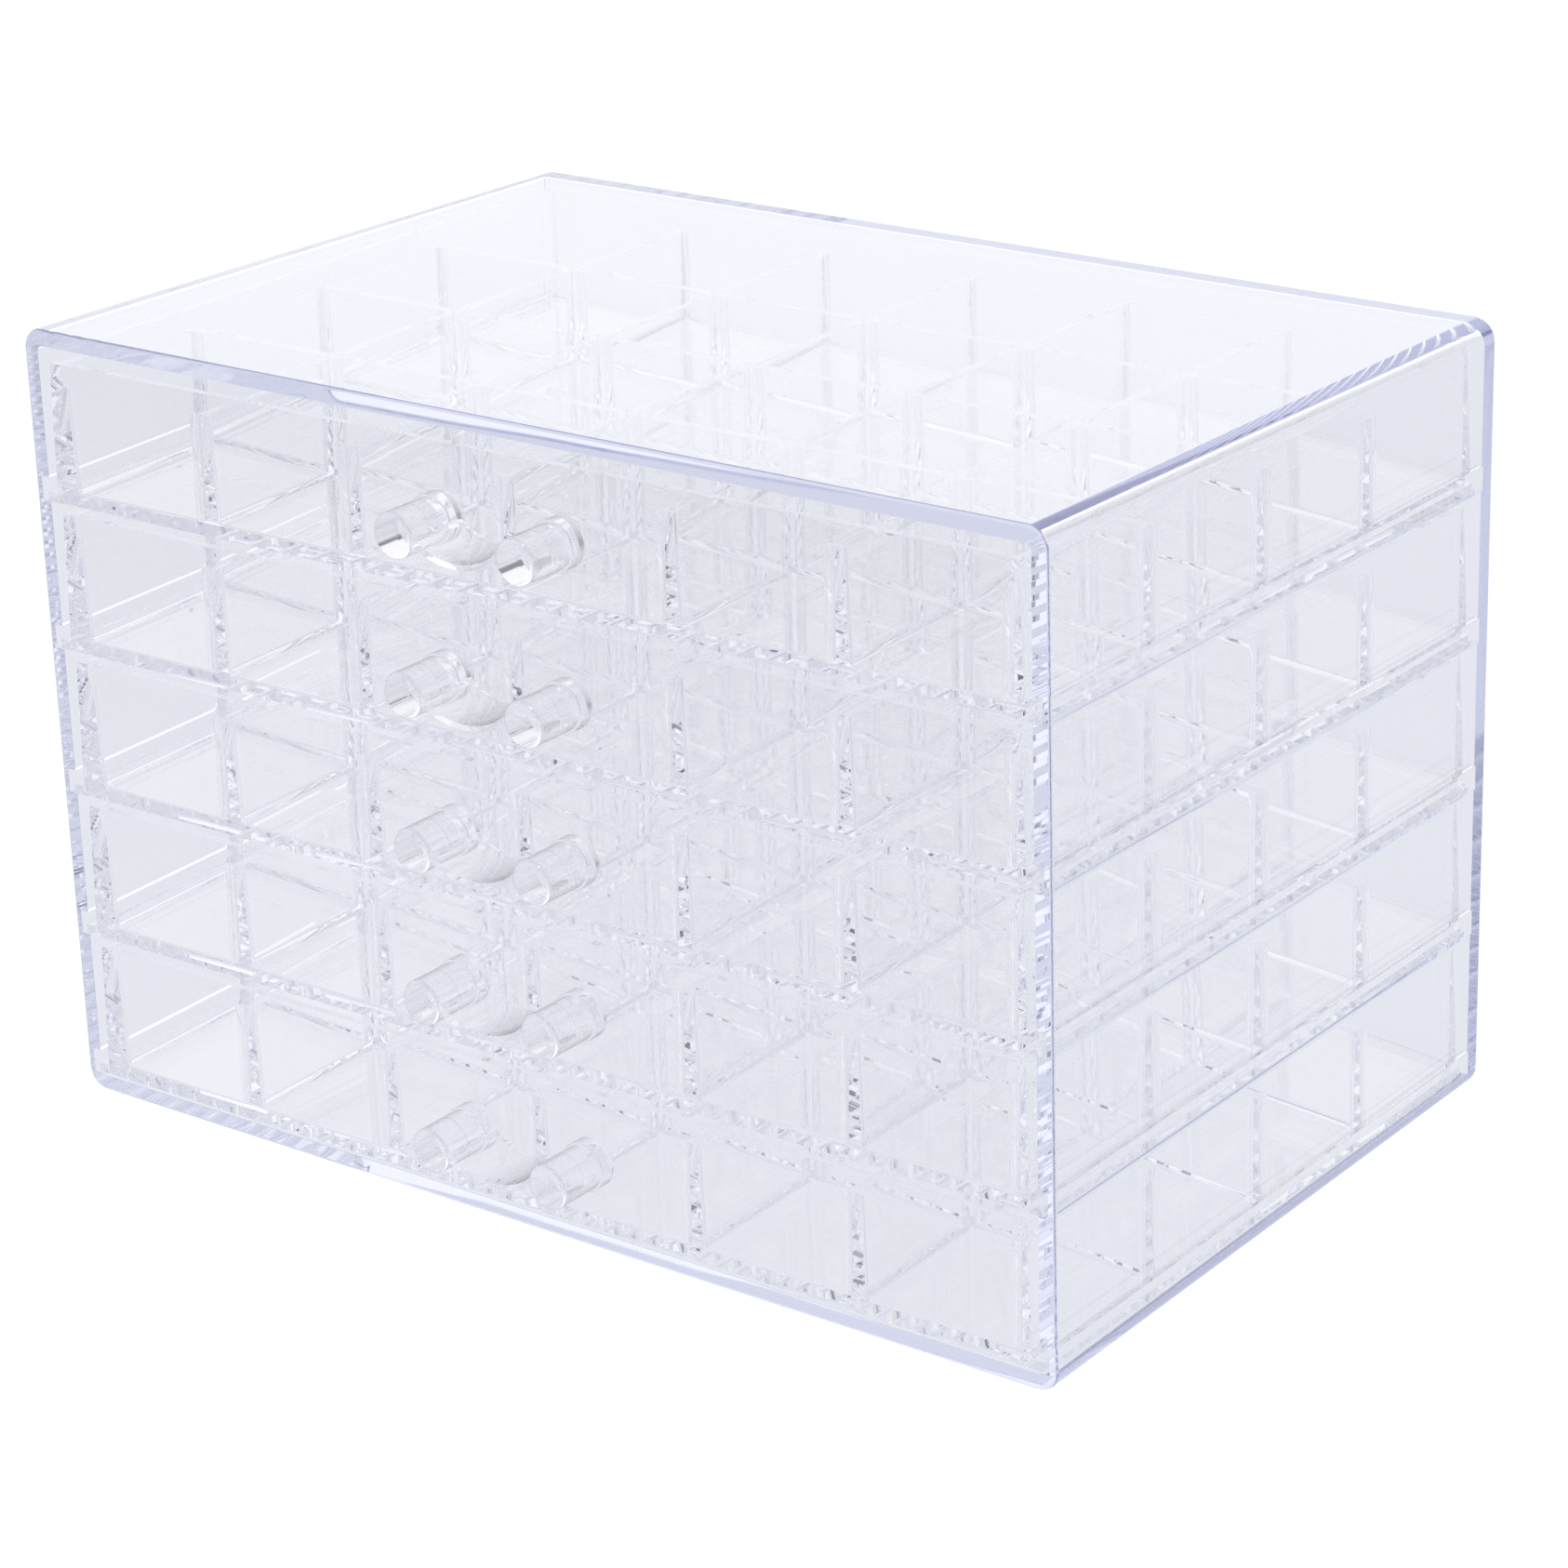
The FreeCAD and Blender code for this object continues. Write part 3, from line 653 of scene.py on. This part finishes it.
# %% [markdown]
# ## Five drawers
# The trays are one moulding five times over.  Each copy has its height in its mesh, so that
# the slow waves of the plastic fall differently in every drawer.

# %% Stack the drawers
for number, (low, _) in tray_boxes.items():
    copy = tray_mesh.copy()
    copy.transform(Matrix.Translation((0, 0, low.z - tray_low.z)))
    drawer = mesh_object("drawer_%d_moulding" % number, copy)
    names = [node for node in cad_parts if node.startswith("drawer_%d_" % number)]
    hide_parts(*names)
    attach(drawer, "drawer_%d" % number)
    print(drawer.name, "stands for", len(names), "nodes,", len(copy.vertices), "points")

# %% [markdown]
# ## Light and surroundings
# Clear plastic has no colour of its own to light, so it is shown by what lies behind it.
# It stands on a white lit table in a bright even room.  As in a small studio, cards hang
# around it: two bright boxes behind it and to its left, a dark side where the viewer
# stands, and a grey and a dark card that only some edges turn towards.  Those edges draw
# themselves as thin dark lines.  The table itself dims towards the viewer.
#
# The viewer sees table and room as plain white; only light that has met the plastic sees
# the cards and the dimming.

# %% Table
DIM_NEAR, DIM_FAR = -0.50, -0.12    # the table dims between these depths
DIMMED = 0.50                       # down to this share of its light
TABLE_SHADE = (0.80, 0.815, 0.88, 1.0)
WHITE, PLAIN_LIGHT = (1.0, 1.0, 1.0, 1.0), 1.05     # what the viewer sees behind the plastic
table_finish = bpy.data.materials.new("white_table")
table_finish.use_nodes = True
tree = table_finish.node_tree
tree.nodes.clear()
direct = tree.nodes.new("ShaderNodeLightPath").outputs["Is Camera Ray"]
place = tree.nodes.new("ShaderNodeTexCoord").outputs["Object"]
along = put(tree, "ShaderNodeSeparateXYZ", [place]).outputs["Y"]
fade = put(tree, "ShaderNodeMapRange", [along, DIM_NEAR, DIM_FAR, DIMMED, 1.0])
through = put(tree, "ShaderNodeEmission", [TABLE_SHADE, fade.outputs[0]])
plain = put(tree, "ShaderNodeEmission", [WHITE, PLAIN_LIGHT])
glow = put(tree, "ShaderNodeMixShader", [direct, through.outputs[0], plain.outputs[0]])
out = tree.nodes.new("ShaderNodeOutputMaterial")
tree.links.new(glow.outputs[0], out.inputs["Surface"])

table_mesh = bpy.data.meshes.new("table")
TABLE_HALF, UNDER = 4.0, -0.0005    # a little below the base, so that the faces never meet
table_mesh.from_pydata([(-TABLE_HALF, -TABLE_HALF, UNDER), (TABLE_HALF, -TABLE_HALF, UNDER),
                        (TABLE_HALF, TABLE_HALF, UNDER), (-TABLE_HALF, TABLE_HALF, UNDER)],
                       [], [(0, 1, 2, 3)])
table_mesh.materials.append(table_finish)
table = mesh_object("table", table_mesh)

# %% [markdown]
# The room has no walls: its colour depends on direction alone.  It is one even shade, with
# each card laid over it as a soft-edged disc.

# %% Surroundings
ROOM_CARDS = (                      # direction, colour, angles of the core and the edge
    ((0.35, -0.90, 0.10), (0.42, 0.42, 0.46), 35, 75),      # dark side of the viewer
    ((0.0, 0.64, 0.77), (1.06, 1.06, 1.08), 10, 45),        # great soft box over the back
    ((-0.57, 0.74, 0.36), (1.12, 1.13, 1.17), 10, 32),      # second one, low at the left
    ((0.50, 0.78, 0.38), (0.16, 0.16, 0.18), 6, 12),        # dark card, rear right
    ((0.95, 0.30, 0.05), (0.55, 0.55, 0.59), 10, 25),       # grey card at the right
)
world = bpy.data.worlds.new("soft_room")
bpy.context.scene.world = world
world.use_nodes = True
tree = world.node_tree
tree.nodes.clear()
look = tree.nodes.new("ShaderNodeTexCoord").outputs["Generated"]


def patch(behind, direction, colour, core, edge):
    """Hang a round card before what is behind it; core and edge are angles in degrees."""
    facing = put(tree, "ShaderNodeVectorMath", [look, tuple(Vector(direction).normalized())],
                 operation="DOT_PRODUCT").outputs["Value"]
    cover = put(tree, "ShaderNodeMapRange", [facing, math.cos(math.radians(edge)),
                                             math.cos(math.radians(core)), 0.0, 1.0])
    cover.interpolation_type = "SMOOTHSTEP"
    mix = put(tree, "ShaderNodeMix", data_type="RGBA")
    tree.links.new(cover.outputs[0], mix.inputs["Factor"])
    for socket, value in zip((s for s in mix.inputs if s.type == "RGBA"), (behind, colour)):
        if isinstance(value, tuple):
            socket.default_value = (*value, 1.0)
        else:
            tree.links.new(value, socket)
    return next(out for out in mix.outputs if out.type == "RGBA")


shade = (0.81, 0.82, 0.865)         # the even room, before any card
for card in ROOM_CARDS:
    shade = patch(shade, *card)
direct = tree.nodes.new("ShaderNodeLightPath").outputs["Is Camera Ray"]
around = put(tree, "ShaderNodeBackground", [shade, 1.0])
plain = put(tree, "ShaderNodeBackground", [WHITE, PLAIN_LIGHT])
sky = put(tree, "ShaderNodeMixShader", [direct, around.outputs[0], plain.outputs[0]])
out = tree.nodes.new("ShaderNodeOutputWorld")
tree.links.new(sky.outputs[0], out.inputs["Surface"])

# %% [markdown]
# A lit panel hangs over the organiser, for the small bright glints on round edges.

# %% Ceiling soft box
PANEL_LIGHT = 2.0
panel_finish = bpy.data.materials.new("soft_box")
panel_finish.use_nodes = True
tree = panel_finish.node_tree
tree.nodes.clear()
glow = put(tree, "ShaderNodeEmission", [WHITE, PANEL_LIGHT])
out = tree.nodes.new("ShaderNodeOutputMaterial")
tree.links.new(glow.outputs[0], out.inputs["Surface"])
panel_mesh = bpy.data.meshes.new("soft_box")
WIDE, DEEP, HIGH = 0.3, 0.4, 1.3    # half its width, its depth and how high it hangs
panel_mesh.from_pydata([(-WIDE, 0.0, HIGH), (-WIDE, DEEP, HIGH), (WIDE, DEEP, HIGH),
                        (WIDE, 0.0, HIGH)], [], [(0, 1, 2, 3)])
panel_mesh.materials.append(panel_finish)
panel = mesh_object("soft_box", panel_mesh)

# %% [markdown]
# Light crosses dozens of surfaces on its way through five trays, so a path may bounce far
# longer than in an opaque scene.

# %% Light paths and colour
LONG_PATH = 200
scene = bpy.context.scene
scene.view_settings.view_transform = "Standard"
scene.cycles.max_bounces = LONG_PATH
scene.cycles.transmission_bounces = LONG_PATH
scene.cycles.glossy_bounces = LONG_PATH
scene.cycles.transparent_max_bounces = 32
scene.cycles.sample_clamp_indirect = 10.0
for lit in (table_finish, panel_finish):
    lit.cycles.emission_sampling = "NONE"
world.cycles.sampling_method = "NONE"
